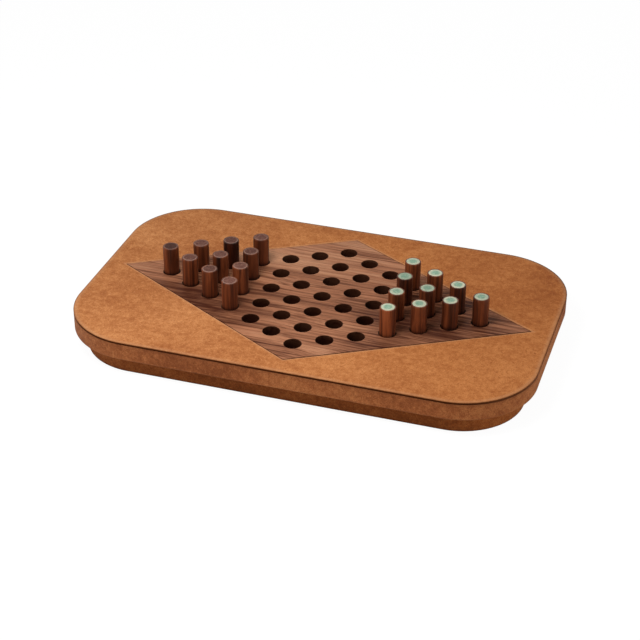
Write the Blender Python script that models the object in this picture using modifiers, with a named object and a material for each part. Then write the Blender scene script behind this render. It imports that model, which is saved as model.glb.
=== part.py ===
# Chinese checkers board: a drilled walnut rhombus let into a suede covered slab on a plinth
# Metres, Z up, X along the board, the origin at the middle of its underside

import math

import bmesh
import bpy

PART_NAME = "chinese_checkers_board"

# Peg holes, on a lattice of equal triangles that fills a rhombus
HOLE_PITCH = 0.0300
HOLES_PER_SIDE = 7
HOME_ROWS = 4
LATTICE_HALF_ANGLE = math.radians(30)
HOLE_DIAMETER = 0.0166
HOLE_CHAMFER = 0.0005

# Walnut inlay that carries the holes
INLAY_MARGIN = 0.0244
INLAY_THICKNESS = 0.0140

# Pegs, and the leather discs let into their tops
PEG_CLEARANCE = 0.0006
PEG_STANDOUT = 0.0286
PEG_TOP_CHAMFER = 0.0006
PEG_FOOT_CHAMFER = 0.0008
CAP_RIM = 0.0010
CAP_THICKNESS = 0.0012
CAP_EASE = 0.0002

# Slab: outline round the inlay, and its layers
TIP_MARGIN = 0.0198
SIDE_MARGIN = 0.0192
CORNER_RADIUS = 0.0725
TOP_SHEET_THICKNESS = 0.0006
TOP_SHEET_EASE = 0.0002
WELT_HEIGHT = 0.0012
WELT_SETBACK = 0.0002
BAND_THICKNESS = 0.0010
POCKET_FLOOR = 0.0033
LINING_THICKNESS = 0.0008

# Plinth under the slab
PLINTH_HEIGHT = 0.0199
PLINTH_INSET = 0.0113
BASE_LINING_THICKNESS = 0.0010

# Clearance between pieces that touch, and how far a cutter runs past what it cuts
FIT_GAP = 0.0003
CUT_OVERRUN = 0.0020

# Facets
PEG_STEPS = 20
HOLE_STEPS = 18
CORNER_STEPS = 10
SHARP_ANGLE = math.radians(35)
WELD_DISTANCE = 0.000001

# Sizes that follow from the ones above
hole_radius = HOLE_DIAMETER / 2
peg_radius = hole_radius - PEG_CLEARANCE
lattice_span = HOLE_PITCH * (HOLES_PER_SIDE - 1)
step_along = HOLE_PITCH * math.cos(LATTICE_HALF_ANGLE)
step_across = HOLE_PITCH * math.sin(LATTICE_HALF_ANGLE)

core_bottom = PLINTH_HEIGHT + LINING_THICKNESS + FIT_GAP
pocket_floor = core_bottom + POCKET_FLOOR
inlay_bottom = pocket_floor + FIT_GAP
board_top = inlay_bottom + INLAY_THICKNESS
core_top = board_top - TOP_SHEET_THICKNESS - FIT_GAP
welt_bottom = core_top - WELT_HEIGHT
slab_band_top = welt_bottom - FIT_GAP


def rhombus_half_length(margin):
    return lattice_span * math.cos(LATTICE_HALF_ANGLE) + margin / math.sin(LATTICE_HALF_ANGLE)


def rhombus_half_width(margin):
    return lattice_span * math.sin(LATTICE_HALF_ANGLE) + margin / math.cos(LATTICE_HALF_ANGLE)


board_half_length = rhombus_half_length(INLAY_MARGIN) + TIP_MARGIN
board_half_width = rhombus_half_width(INLAY_MARGIN) + SIDE_MARGIN


def clear_scene():
    for item in list(bpy.data.objects):
        bpy.data.objects.remove(item, do_unlink=True)


def new_collection(name):
    collection = bpy.data.collections.new(name)
    bpy.context.scene.collection.children.link(collection)
    return collection


def material(name, colour, roughness):
    finish = bpy.data.materials.new(name)
    finish.use_nodes = True
    shader = finish.node_tree.nodes["Principled BSDF"]
    shader.inputs["Base Color"].default_value = (*colour, 1.0)
    shader.inputs["Roughness"].default_value = roughness
    shader.inputs["Metallic"].default_value = 0.0
    finish.diffuse_color = (*colour, 1.0)
    return finish


def suede_material():
    return material("suede", (0.45, 0.20, 0.08), 0.95)


def welt_material():
    return material("welt_leather", (0.06, 0.02, 0.01), 0.55)


def walnut_material():
    return material("walnut", (0.25, 0.12, 0.07), 0.45)


def peg_wood_material():
    return material("peg_wood", (0.16, 0.05, 0.025), 0.35)


def core_material():
    return material("fibreboard", (0.36, 0.26, 0.16), 0.85)


def dark_disc_material():
    return material("burgundy_leather", (0.12, 0.055, 0.05), 0.65)


def green_disc_material():
    return material("green_leather", (0.28, 0.48, 0.38), 0.65)


def base_lining_material():
    return material("base_lining", (0.20, 0.09, 0.04), 0.95)


def rounded_rectangle(inset):
    # The board's outline moved in by the inset, with one arc at each corner
    half_length = board_half_length - inset
    half_width = board_half_width - inset
    radius = CORNER_RADIUS - inset
    points = []
    for corner in range(4):
        start = math.radians(90) * corner
        side_x = 1 if corner in (0, 3) else -1
        side_y = 1 if corner in (0, 1) else -1
        for step in range(CORNER_STEPS + 1):
            angle = start + math.radians(90) * step / CORNER_STEPS
            x = side_x * (half_length - radius) + radius * math.cos(angle)
            y = side_y * (half_width - radius) + radius * math.sin(angle)
            points.append((x, y))
    return points


def rhombus(margin):
    half_length = rhombus_half_length(margin)
    half_width = rhombus_half_width(margin)
    return [(half_length, 0), (0, half_width), (-half_length, 0), (0, -half_width)]


def solid_mesh(shape):
    # The evaluated form of a shape as one welded mesh; the shape itself is removed
    bpy.context.scene.collection.objects.link(shape)
    depsgraph = bpy.context.evaluated_depsgraph_get()
    mesh = bpy.data.meshes.new_from_object(shape.evaluated_get(depsgraph))
    mesh.name = shape.name
    bpy.data.objects.remove(shape, do_unlink=True)
    welded = bmesh.new()
    welded.from_mesh(mesh)
    bmesh.ops.remove_doubles(welded, verts=welded.verts, dist=WELD_DISTANCE)
    welded.to_mesh(mesh)
    welded.free()
    mesh.shade_smooth()
    mesh.set_sharp_from_angle(angle=SHARP_ANGLE)
    return mesh


def plate_mesh(name, outlines, low, high):
    # A flat piece between two heights; an outline inside another one is an opening
    curve = bpy.data.curves.new(name, "CURVE")
    curve.dimensions = "2D"
    curve.fill_mode = "BOTH"
    curve.extrude = (high - low) / 2
    for outline in outlines:
        spline = curve.splines.new("POLY")
        spline.points.add(len(outline) - 1)
        for point, (x, y) in zip(spline.points, outline):
            point.co = (x, y, 0, 1)
        spline.use_cyclic_u = True
    return solid_mesh(bpy.data.objects.new(name, curve))


def turned_mesh(name, profile, steps):
    # A profile of (radius, height) from the top down the outer side, turned about Z
    line = bpy.data.meshes.new(name)
    outline = bmesh.new()
    points = [outline.verts.new((radius, 0, height)) for radius, height in profile]
    for upper, lower in zip(points, points[1:]):
        outline.edges.new((upper, lower))
    outline.to_mesh(line)
    outline.free()
    shape = bpy.data.objects.new(name, line)
    turn = shape.modifiers.new("turn", "SCREW")
    turn.axis = "Z"
    turn.steps = steps
    turn.render_steps = steps
    turn.use_merge_vertices = True
    turn.merge_threshold = WELD_DISTANCE
    return solid_mesh(shape)


def place(name, mesh, finish, collection, parent, location):
    piece = bpy.data.objects.new(name, mesh)
    if not mesh.materials:
        mesh.materials.append(finish)
    piece.parent = parent
    piece.location = location
    collection.objects.link(piece)
    return piece


def place_plate(name, outlines, low, high, finish, collection, parent):
    mesh = plate_mesh(name, outlines, low, high)
    return place(name, mesh, finish, collection, parent, (0, 0, (low + high) / 2))


def cutter(name, mesh, cutters, location):
    tool = bpy.data.objects.new(name, mesh)
    tool.location = location
    tool.hide_render = True
    tool.display_type = "WIRE"
    cutters.objects.link(tool)
    return tool


def cut(piece, tool):
    difference = piece.modifiers.new(tool.name, "BOOLEAN")
    difference.operation = "DIFFERENCE"
    difference.object = tool


def hole_position(row, column):
    # Rows climb from the left tip to the right one, on either side of the long diagonal
    x = step_along * (row + column - (HOLES_PER_SIDE - 1))
    y = step_across * (row - column)
    return x, y


def pocket_cutter(cutters):
    low = pocket_floor
    high = board_top + CUT_OVERRUN
    mesh = plate_mesh("pocket_cutter", [rhombus(INLAY_MARGIN + FIT_GAP)], low, high)
    return cutter("pocket_cutter", mesh, cutters, (0, 0, (low + high) / 2))


def drill_cutter(cutters):
    # One countersunk drill for each hole, set out along the lattice's two directions
    mouth = hole_radius + HOLE_CHAMFER
    profile = [
        (0, board_top + CUT_OVERRUN),
        (mouth + CUT_OVERRUN, board_top + CUT_OVERRUN),
        (hole_radius, board_top - HOLE_CHAMFER),
        (hole_radius, inlay_bottom - CUT_OVERRUN),
        (0, inlay_bottom - CUT_OVERRUN),
    ]
    mesh = turned_mesh("drill_cutter", profile, HOLE_STEPS)
    tool = cutter("drill_cutter", mesh, cutters, (*hole_position(0, 0), 0))
    for name, side in (("rows", 1), ("columns", -1)):
        pattern = tool.modifiers.new(name, "ARRAY")
        pattern.count = HOLES_PER_SIDE
        pattern.use_relative_offset = False
        pattern.use_constant_offset = True
        pattern.constant_offset_displace = (step_along, side * step_across, 0)
    return tool


def top_sheet(collection, parent, pocket):
    finish = suede_material()
    low = board_top - TOP_SHEET_THICKNESS
    piece = place_plate("top_sheet", [rounded_rectangle(0)], low, board_top, finish, collection, parent)
    ease = piece.modifiers.new("ease", "BEVEL")
    ease.width = TOP_SHEET_EASE
    ease.segments = 1
    ease.limit_method = "ANGLE"
    ease.angle_limit = SHARP_ANGLE
    cut(piece, pocket)
    return finish


def edge_welt(collection, parent):
    outlines = [rounded_rectangle(WELT_SETBACK), rounded_rectangle(BAND_THICKNESS)]
    place_plate("edge_welt", outlines, welt_bottom, core_top, welt_material(), collection, parent)


def slab_core(collection, parent, pocket, finish):
    outlines = [rounded_rectangle(BAND_THICKNESS + FIT_GAP)]
    piece = place_plate("slab_core", outlines, core_bottom, core_top, finish, collection, parent)
    cut(piece, pocket)


def slab_band(collection, parent, finish):
    outlines = [rounded_rectangle(0), rounded_rectangle(BAND_THICKNESS)]
    place_plate("slab_band", outlines, PLINTH_HEIGHT, slab_band_top, finish, collection, parent)


def overhang_lining(collection, parent, finish):
    # Its inner edge runs in over the top of the plinth's band
    outer = rounded_rectangle(BAND_THICKNESS + FIT_GAP)
    inner = rounded_rectangle(PLINTH_INSET + BAND_THICKNESS)
    high = PLINTH_HEIGHT + LINING_THICKNESS
    place_plate("overhang_lining", [outer, inner], PLINTH_HEIGHT, high, finish, collection, parent)


def walnut_inlay(collection, parent, drill):
    outlines = [rhombus(INLAY_MARGIN)]
    finish = walnut_material()
    piece = place_plate("walnut_inlay", outlines, inlay_bottom, board_top, finish, collection, parent)
    cut(piece, drill)


def plinth_core(collection, parent, finish):
    outlines = [rounded_rectangle(PLINTH_INSET + BAND_THICKNESS + FIT_GAP)]
    low = BASE_LINING_THICKNESS + FIT_GAP
    place_plate("plinth_core", outlines, low, core_bottom - FIT_GAP, finish, collection, parent)


def plinth_band(collection, parent, finish):
    outlines = [rounded_rectangle(PLINTH_INSET), rounded_rectangle(PLINTH_INSET + BAND_THICKNESS)]
    place_plate("plinth_band", outlines, FIT_GAP, PLINTH_HEIGHT - FIT_GAP, finish, collection, parent)


def base_lining(collection, parent):
    outlines = [rounded_rectangle(PLINTH_INSET + BAND_THICKNESS + FIT_GAP)]
    finish = base_lining_material()
    place_plate("base_lining", outlines, 0, BASE_LINING_THICKNESS, finish, collection, parent)


def peg_mesh(name):
    # Turned peg with an eased foot and top, and a shallow seat for its disc
    length = INLAY_THICKNESS + PEG_STANDOUT
    seat_radius = peg_radius - CAP_RIM
    seat_height = length - CAP_THICKNESS - FIT_GAP
    profile = [
        (0, seat_height),
        (seat_radius, seat_height),
        (seat_radius, length),
        (peg_radius - PEG_TOP_CHAMFER, length),
        (peg_radius, length - PEG_TOP_CHAMFER),
        (peg_radius, PEG_FOOT_CHAMFER),
        (peg_radius - PEG_FOOT_CHAMFER, 0),
        (0, 0),
    ]
    return turned_mesh(name, profile, PEG_STEPS)


def cap_mesh(name):
    radius = peg_radius - CAP_RIM - FIT_GAP
    profile = [
        (0, CAP_THICKNESS),
        (radius - CAP_EASE, CAP_THICKNESS),
        (radius, CAP_THICKNESS - CAP_EASE),
        (radius, 0),
        (0, 0),
    ]
    return turned_mesh(name, profile, PEG_STEPS)


def pegs(collection, parent, side, places, wood, disc_finish):
    # Each peg's empty is on its own axis, at the foot that stands in the hole
    body_mesh = peg_mesh("peg_" + side)
    disc_mesh = cap_mesh("cap_" + side)
    disc_height = INLAY_THICKNESS + PEG_STANDOUT - CAP_THICKNESS
    for number, (row, column) in enumerate(places, start=1):
        label = f"{side}_{number:02d}"
        axis = bpy.data.objects.new("axis_" + label, None)
        axis.parent = parent
        axis.location = (*hole_position(row, column), inlay_bottom)
        collection.objects.link(axis)
        place("peg_" + label, body_mesh, wood, collection, axis, (0, 0, 0))
        place("cap_" + label, disc_mesh, disc_finish, collection, axis, (0, 0, disc_height))


def home_places():
    # The holes of the two acute corners, HOME_ROWS deep, tip first
    indices = range(HOLES_PER_SIDE)
    lattice = [(row, column) for row in indices for column in indices]
    last = HOLES_PER_SIDE - 1
    left = [(row, column) for row, column in lattice if row + column < HOME_ROWS]
    left.sort(key=sum)
    right = [(last - row, last - column) for row, column in left]
    return left, right


def build_board():
    clear_scene()
    parts = new_collection(PART_NAME)
    cutters = new_collection("cutters")
    root = bpy.data.objects.new(PART_NAME + "_origin", None)
    parts.objects.link(root)
    pocket = pocket_cutter(cutters)
    drill = drill_cutter(cutters)
    fibreboard = core_material()
    suede = top_sheet(parts, root, pocket)
    edge_welt(parts, root)
    slab_core(parts, root, pocket, fibreboard)
    slab_band(parts, root, suede)
    overhang_lining(parts, root, suede)
    walnut_inlay(parts, root, drill)
    plinth_core(parts, root, fibreboard)
    plinth_band(parts, root, suede)
    base_lining(parts, root)
    wood = peg_wood_material()
    left_home, right_home = home_places()
    pegs(parts, root, "dark", left_home, wood, dark_disc_material())
    pegs(parts, root, "green", right_home, wood, green_disc_material())


build_board()
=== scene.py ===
# Chinese checkers board: suede, walnut, pegs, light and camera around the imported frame
import math

import bmesh
import bpy
from mathutils import Matrix, Vector, noise


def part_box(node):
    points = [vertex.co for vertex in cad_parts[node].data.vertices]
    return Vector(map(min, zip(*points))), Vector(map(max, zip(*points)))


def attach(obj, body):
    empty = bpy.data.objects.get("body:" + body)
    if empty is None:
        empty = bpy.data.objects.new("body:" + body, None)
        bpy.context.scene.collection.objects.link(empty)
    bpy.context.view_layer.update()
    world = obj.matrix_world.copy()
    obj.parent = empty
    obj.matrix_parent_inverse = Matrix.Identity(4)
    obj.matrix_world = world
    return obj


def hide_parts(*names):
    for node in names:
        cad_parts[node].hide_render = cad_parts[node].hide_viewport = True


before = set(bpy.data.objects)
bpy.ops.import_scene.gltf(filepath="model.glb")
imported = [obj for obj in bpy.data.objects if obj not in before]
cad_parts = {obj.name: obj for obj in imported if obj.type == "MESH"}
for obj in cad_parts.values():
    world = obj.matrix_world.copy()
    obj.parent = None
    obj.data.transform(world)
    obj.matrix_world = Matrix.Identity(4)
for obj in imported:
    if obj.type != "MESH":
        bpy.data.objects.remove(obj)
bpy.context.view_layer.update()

mm = 0.001


def span(node, axis):
    low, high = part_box(node)
    return high[axis] - low[axis]


def middle(node):
    low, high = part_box(node)
    return (low + high) / 2


# the lattice comes from the two tip pegs: six steps each way along a 60 degree rhombus
side, home, halfAngle = 7, 4, math.radians(30)
tipToTip = middle("peg_green_01").x - middle("peg_dark_01").x
pitch = tipToTip / (2 * (side - 1) * math.cos(halfAngle))
holeSpots = {
    (row, column): Vector((
        pitch * math.cos(halfAngle) * (row + column - (side - 1)),
        pitch * math.sin(halfAngle) * (row - column),
    ))
    for row in range(side) for column in range(side)
}
darkHome = sorted((spot for spot in holeSpots if sum(spot) < home), key=sum)
greenHome = [(side - 1 - row, side - 1 - column) for row, column in darkHome]
print("frame: pitch %.2f mm, %d holes" % (pitch / mm, len(holeSpots)))


def linear(red, green, blue):
    # a colour as it reads on screen, 0 to 255, as the shader's linear value
    parts = [channel / 255 for channel in (red, green, blue)]
    return [part / 12.92 if part <= 0.04045 else ((part + 0.055) / 1.055) ** 2.4 for part in parts]


def feed(tree, socket, value):
    # value is a constant or a (node, output) pair to link
    if isinstance(value, tuple) and hasattr(value[0], "outputs"):
        tree.links.new(value[0].outputs[value[1]], socket)
    elif socket.type == "RGBA":
        socket.default_value = (*value[:3], 1)
    else:
        socket.default_value = value


def put(tree, kind, inputs=None, **settings):
    node = tree.nodes.new(kind)
    for name, value in settings.items():
        setattr(node, name, value)
    for name, value in (inputs or {}).items():
        feed(tree, node.inputs[name], value)
    return node


def mixColor(tree, factor, first, second, blend="MIX"):
    node = put(tree, "ShaderNodeMix", data_type="RGBA", blend_type=blend)
    for index, value in ((0, factor), (6, first), (7, second)):
        feed(tree, node.inputs[index], value)
    return node, 2


def sums(tree, operation, first, second=0.0, third=0.0):
    return put(tree, "ShaderNodeMath", {0: first, 1: second, 2: third}, operation=operation), 0


def spread(tree, value, low, high, newLow=0.0, newHigh=1.0):
    return put(tree, "ShaderNodeMapRange", {
        "Value": value, "From Min": low, "From Max": high, "To Min": newLow, "To Max": newHigh,
    }), "Result"


def times(tree, first, second):
    return sums(tree, "MULTIPLY", first, second)


def grey(tree, value):
    return put(tree, "ShaderNodeCombineColor", {"Red": value, "Green": value, "Blue": value}), "Color"


def stretched(tree, vector, scale, turn=(0, 0, 0)):
    return put(tree, "ShaderNodeMapping", {"Vector": vector, "Scale": scale, "Rotation": turn}), "Vector"


def cloud(tree, vector, scale, detail, rough):
    # scale is one number, or three for a cloud drawn out along the axes
    if isinstance(scale, tuple):
        vector, scale = stretched(tree, vector, scale), 1
    return put(tree, "ShaderNodeTexNoise", {
        "Vector": vector, "Scale": scale, "Detail": detail, "Roughness": rough,
    }), "Fac"


def clearTree(owner):
    owner.use_nodes = True
    owner.node_tree.nodes.clear()
    return owner.node_tree


def addObject(name, data):
    thing = bpy.data.objects.new(name, data)
    bpy.context.scene.collection.objects.link(thing)
    return thing


def newGroup(name, inputs, outputs):
    tree = bpy.data.node_groups.new(name, "ShaderNodeTree")
    for label, kind, value in inputs:
        socket = tree.interface.new_socket(label, in_out="INPUT", socket_type=kind)
        if value is not None:
            socket.default_value = value
    for label, kind in outputs:
        tree.interface.new_socket(label, in_out="OUTPUT", socket_type=kind)
    return tree, tree.nodes.new("NodeGroupInput"), tree.nodes.new("NodeGroupOutput")


surfaceOutputs = [
    ("Color", "NodeSocketColor"), ("Roughness", "NodeSocketFloat"), ("Height", "NodeSocketFloat"),
]


# each cloud: scale, detail, roughness; each range: from, to
napLook = {
    "clouds": (120, 5, 1.0), "cloudRange": (0.36, 0.64),
    "broad": ((7, 12, 12), 3, 0.55), "broadRange": (0.3, 0.7), "broadShare": 0.85,
    "fibre": (1500, 4, 0.75), "fibreRange": (0.3, 0.7), "fibreShade": (0.66, 1.34), "roughness": (0.88, 1.0),
    "raisedBy": 0.6, "laidBy": -0.6,
    "pore": (340, 2, 0.7), "poreShare": 0.75, "fleck": (420, 2, 0.7), "fleckShare": 0.6, "spotRange": (0.58, 0.72),
    "driftAndShadeSlope": 0.6, "driftAndShadeWaver": 0.10, "driftAndShadeRange": (-0.17, 0.13),
    "cloudHeight": 0.5,
}


def napGroup(look):
    # brushed suede: even clouds at every scale, pores and flecks, single fibres, and a slow drift to a darker,
    # deeper hue to the right and to the back, partly the hide's own change and partly painted shade of the light's
    # falloff
    tree, given, result = newGroup("suedeNap", [
        ("Vector", "NodeSocketVector", None),
        ("Base", "NodeSocketColor", (0.5, 0.2, 0.1, 1)),
        ("Raised", "NodeSocketColor", (0.6, 0.3, 0.15, 1)),
        ("Laid", "NodeSocketColor", (0.4, 0.15, 0.07, 1)),
        ("Patches", "NodeSocketFloat", 1.0),
        ("Fibres", "NodeSocketFloat", 1.0),
        ("Drift And Shade", "NodeSocketColor", (1, 1, 1, 1)),
    ], surfaceOutputs)
    vector = (given, "Vector")
    clouds = spread(tree, cloud(tree, vector, *look["clouds"]), *look["cloudRange"], -0.5, 0.5)
    broad = spread(tree, cloud(tree, vector, *look["broad"]), *look["broadRange"], -0.5, 0.5)
    fibre = cloud(tree, vector, *look["fibre"])
    lay = sums(tree, "MULTIPLY_ADD", broad, look["broadShare"], clouds)
    lay = times(tree, lay, (given, "Patches"))
    color = mixColor(tree, spread(tree, lay, 0.0, look["raisedBy"]), (given, "Base"), (given, "Raised"))
    color = mixColor(tree, spread(tree, lay, 0.0, look["laidBy"]), color, (given, "Laid"))
    for spots, tint in (("pore", "Laid"), ("fleck", "Raised")):
        cover = spread(tree, cloud(tree, vector, *look[spots]), *look["spotRange"], 0.0, look[spots + "Share"])
        color = mixColor(tree, cover, color, (given, tint))
    place = put(tree, "ShaderNodeSeparateXYZ", {"Vector": vector})
    # painted shade as well as hide colour: darker and deeper toward the right and the back
    along = sums(tree, "MULTIPLY_ADD", (place, "Y"), look["driftAndShadeSlope"], (place, "X"))
    driftAndShade = spread(tree, sums(tree, "MULTIPLY_ADD", broad, look["driftAndShadeWaver"], along), *look["driftAndShadeRange"])
    color = mixColor(tree, driftAndShade, color, mixColor(tree, 1.0, color, (given, "Drift And Shade"), "MULTIPLY"))
    shade = grey(tree, spread(tree, fibre, *look["fibreRange"], *look["fibreShade"]))
    color = mixColor(tree, (given, "Fibres"), color, mixColor(tree, 1.0, color, shade, "MULTIPLY"))
    feed(tree, result.inputs["Color"], color)
    feed(tree, result.inputs["Roughness"], spread(tree, fibre, *look["fibreRange"], *look["roughness"]))
    feed(tree, result.inputs["Height"], sums(tree, "MULTIPLY_ADD", clouds, look["cloudHeight"], fibre))
    return tree


grainLook = {
    "wander": ((6, 14, 14), 2, 0.5), "sway": 0.020,
    "bandLength": 3.0, "bandDetail": 3, "bandRough": 0.6,
    "growthStretch": (0.07, 1, 1),
    "growth": {"Distortion": 9.0, "Detail": 3.0, "Detail Scale": 0.6, "Detail Roughness": 0.66},
    "streak": ((5, 260, 260), 3, 0.62), "streakRange": (0.54, 0.66),
    "level": ((3.5, 100, 100), 2, 0.5), "veinRange": (0.048, 0.012),
    "line": ((16, 1300, 1300), 2, 0.6),
    "pore": ((120, 3400, 3400), 1, 0.5), "poreRange": (0.60, 0.70), "poreShare": 0.55,
    "bandShare": 0.50, "streakShare": 0.30, "lineShare": 0.20,
    # the wood is darker toward its left and its front right end, where the pegs stand, but for the tips: partly its
    # own tone and partly painted shade round the pegs; it is also paler at the back left
    "endSlope": 0.6, "nearRange": (-0.02, -0.14), "farRange": (0.04, 0.10), "farLimit": (0.03, 0.08), "farMost": 1.7,
    "tipRange": (0.13, 0.19), "tipShare": 0.35, "backSlope": -0.577, "backRange": (0.06, 0.11), "endDarkening": -0.055,
    "lightRange": (0.50, 0.60), "darkRange": (0.50, 0.36),
    "gatheredRange": (0.57, 0.43), "gatheredLeast": 0.35,
    "patchy": ((9, 34, 34), 2, 0.6), "patchyRange": (0.40, 0.60), "patchyLeast": 0.2,
    "ringRange": (0.42, 0.06), "calm": 0.8,
    "roughness": (0.25, 0.30), "pitHeight": -0.8, "lineHeight": 0.35,
}


def grainGroup(look):
    # straight-grained timber along X: slow bands, dark growth lines and veins, fine fibres and open pores
    tree, given, result = newGroup("timberGrain", [
        ("Vector", "NodeSocketVector", None),
        ("Dark", "NodeSocketColor", (0.08, 0.03, 0.02, 1)),
        ("Mid", "NodeSocketColor", (0.3, 0.13, 0.07, 1)),
        ("Light", "NodeSocketColor", (0.45, 0.22, 0.13, 1)),
        ("Band Width", "NodeSocketFloat", 30.0),
        ("Growth Scale", "NodeSocketFloat", 63.0),
        ("Growth Lines", "NodeSocketFloat", 1.0),
        ("Veins", "NodeSocketFloat", 0.0),
        ("Pores", "NodeSocketFloat", 1.0),
        ("End Tone And Shade", "NodeSocketFloat", 0.0),
    ], surfaceOutputs)
    vector = (given, "Vector")
    wander = cloud(tree, vector, *look["wander"])
    sway = sums(tree, "MULTIPLY_ADD", wander, look["sway"], -look["sway"] / 2)
    shift = put(tree, "ShaderNodeCombineXYZ", {"Y": sway, "Z": sway}), "Vector"
    bent = put(tree, "ShaderNodeVectorMath", {0: vector, 1: shift}, operation="ADD"), "Vector"
    widths = put(tree, "ShaderNodeCombineXYZ", {
        "X": look["bandLength"], "Y": (given, "Band Width"), "Z": (given, "Band Width"),
    }), "Vector"
    bandPlace = put(tree, "ShaderNodeVectorMath", {0: bent, 1: widths}, operation="MULTIPLY"), "Vector"
    band = cloud(tree, bandPlace, 1, look["bandDetail"], look["bandRough"])
    growth = put(tree, "ShaderNodeTexWave", {
        "Vector": stretched(tree, bent, look["growthStretch"]), "Scale": (given, "Growth Scale"), **look["growth"],
    }, wave_type="BANDS", bands_direction="Y"), "Fac"
    streak, level, line, pore = (cloud(tree, bent, *look[key]) for key in ("streak", "level", "line", "pore"))
    vein = spread(tree, sums(tree, "ABSOLUTE", sums(tree, "SUBTRACT", level, 0.5)), *look["veinRange"])
    tone = sums(tree, "MULTIPLY_ADD", band, look["bandShare"], times(tree, streak, look["streakShare"]))
    tone = sums(tree, "MULTIPLY_ADD", line, look["lineShare"], tone)

    place = put(tree, "ShaderNodeSeparateXYZ", {"Vector": bent})
    nearEnd = sums(tree, "MULTIPLY_ADD", (place, "Y"), look["endSlope"], (place, "X"))
    nearEnd = spread(tree, nearEnd, *look["nearRange"])
    farEnd = sums(tree, "MULTIPLY_ADD", (place, "Y"), -look["endSlope"], (place, "X"))
    farEnd = spread(tree, farEnd, *look["farRange"], 0.0, look["farMost"])
    farEnd = sums(tree, "MINIMUM", farEnd, spread(tree, (place, "X"), *look["farLimit"], 0.0, look["farMost"]))
    tips = spread(tree, sums(tree, "ABSOLUTE", (place, "X")), *look["tipRange"], 1.0, look["tipShare"])
    backLeft = sums(tree, "MULTIPLY_ADD", (place, "X"), look["backSlope"], (place, "Y"))
    backLeft = spread(tree, backLeft, *look["backRange"])
    # painted shade round the pegs at both homes, together with the wood's own darker tone there
    endToneAndShadeMask = times(tree, sums(tree, "MAXIMUM", nearEnd, farEnd), tips)
    endToneAndShadeMask = times(tree, sums(tree, "SUBTRACT", endToneAndShadeMask, backLeft), (given, "End Tone And Shade"))
    tone = sums(tree, "MULTIPLY_ADD", endToneAndShadeMask, look["endDarkening"], tone)
    color = mixColor(tree, spread(tree, tone, *look["lightRange"]), (given, "Mid"), (given, "Light"))
    color = mixColor(tree, spread(tree, tone, *look["darkRange"]), color, (given, "Dark"))

    gathered = spread(tree, tone, *look["gatheredRange"], look["gatheredLeast"], 1.0)
    patchy = spread(tree, cloud(tree, vector, *look["patchy"]), *look["patchyRange"], look["patchyLeast"], 1.0)
    ring = times(tree, spread(tree, growth, *look["ringRange"]), patchy)
    ring = sums(tree, "MAXIMUM", ring, spread(tree, streak, *look["streakRange"]))
    ring = sums(tree, "MAXIMUM", ring, times(tree, vein, (given, "Veins")))
    ring = times(tree, ring, spread(tree, endToneAndShadeMask, 0.0, 1.0, look["calm"], 1.0))
    ring = times(tree, times(tree, ring, gathered), (given, "Growth Lines"))
    color = mixColor(tree, ring, color, (given, "Dark"))
    pit = times(tree, spread(tree, pore, *look["poreRange"]), (given, "Pores"))
    color = mixColor(tree, times(tree, pit, look["poreShare"]), color, (given, "Dark"))
    feed(tree, result.inputs["Color"], color)
    feed(tree, result.inputs["Roughness"], sums(tree, "MULTIPLY_ADD", line, *look["roughness"]))
    height = sums(tree, "MULTIPLY_ADD", pit, look["pitHeight"], times(tree, line, look["lineHeight"]))
    feed(tree, result.inputs["Height"], height)
    return tree


hideLook = {
    "pebbleScale": 1100.0, "pebbleRange": (0.35, 0.75), "creaseShare": 0.6,
    "patch": (480, 3, 0.65), "patchRange": (0.42, 0.68), "fine": (2600, 2, 0.6),
    "roughness": (0.25, 0.45), "pebbleHeight": -0.8, "fineHeight": 0.3,
}


def hideGroup(look):
    # pebbled leather for discs and strips
    tree, given, result = newGroup("leatherPebble", [
        ("Vector", "NodeSocketVector", None),
        ("Base", "NodeSocketColor", (0.2, 0.1, 0.1, 1)),
        ("Crease", "NodeSocketColor", (0.1, 0.05, 0.05, 1)),
        ("Bloom", "NodeSocketColor", (0.3, 0.2, 0.2, 1)),
    ], surfaceOutputs)
    vector = (given, "Vector")
    pebble = put(tree, "ShaderNodeTexVoronoi", {
        "Vector": vector, "Scale": look["pebbleScale"],
    }, feature="SMOOTH_F1"), "Distance"
    patch, fine = cloud(tree, vector, *look["patch"]), cloud(tree, vector, *look["fine"])
    color = mixColor(tree, spread(tree, patch, *look["patchRange"]), (given, "Base"), (given, "Bloom"))
    crease = spread(tree, pebble, *look["pebbleRange"], 0.0, look["creaseShare"])
    color = mixColor(tree, crease, color, (given, "Crease"))
    feed(tree, result.inputs["Color"], color)
    feed(tree, result.inputs["Roughness"], sums(tree, "MULTIPLY_ADD", fine, *look["roughness"]))
    height = sums(tree, "MULTIPLY_ADD", pebble, look["pebbleHeight"], times(tree, fine, look["fineHeight"]))
    feed(tree, result.inputs["Height"], height)
    return tree


rubAndHighlightLook = {"cloud": (420, 3, 0.65), "range": (0.3, 0.65)}


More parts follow.
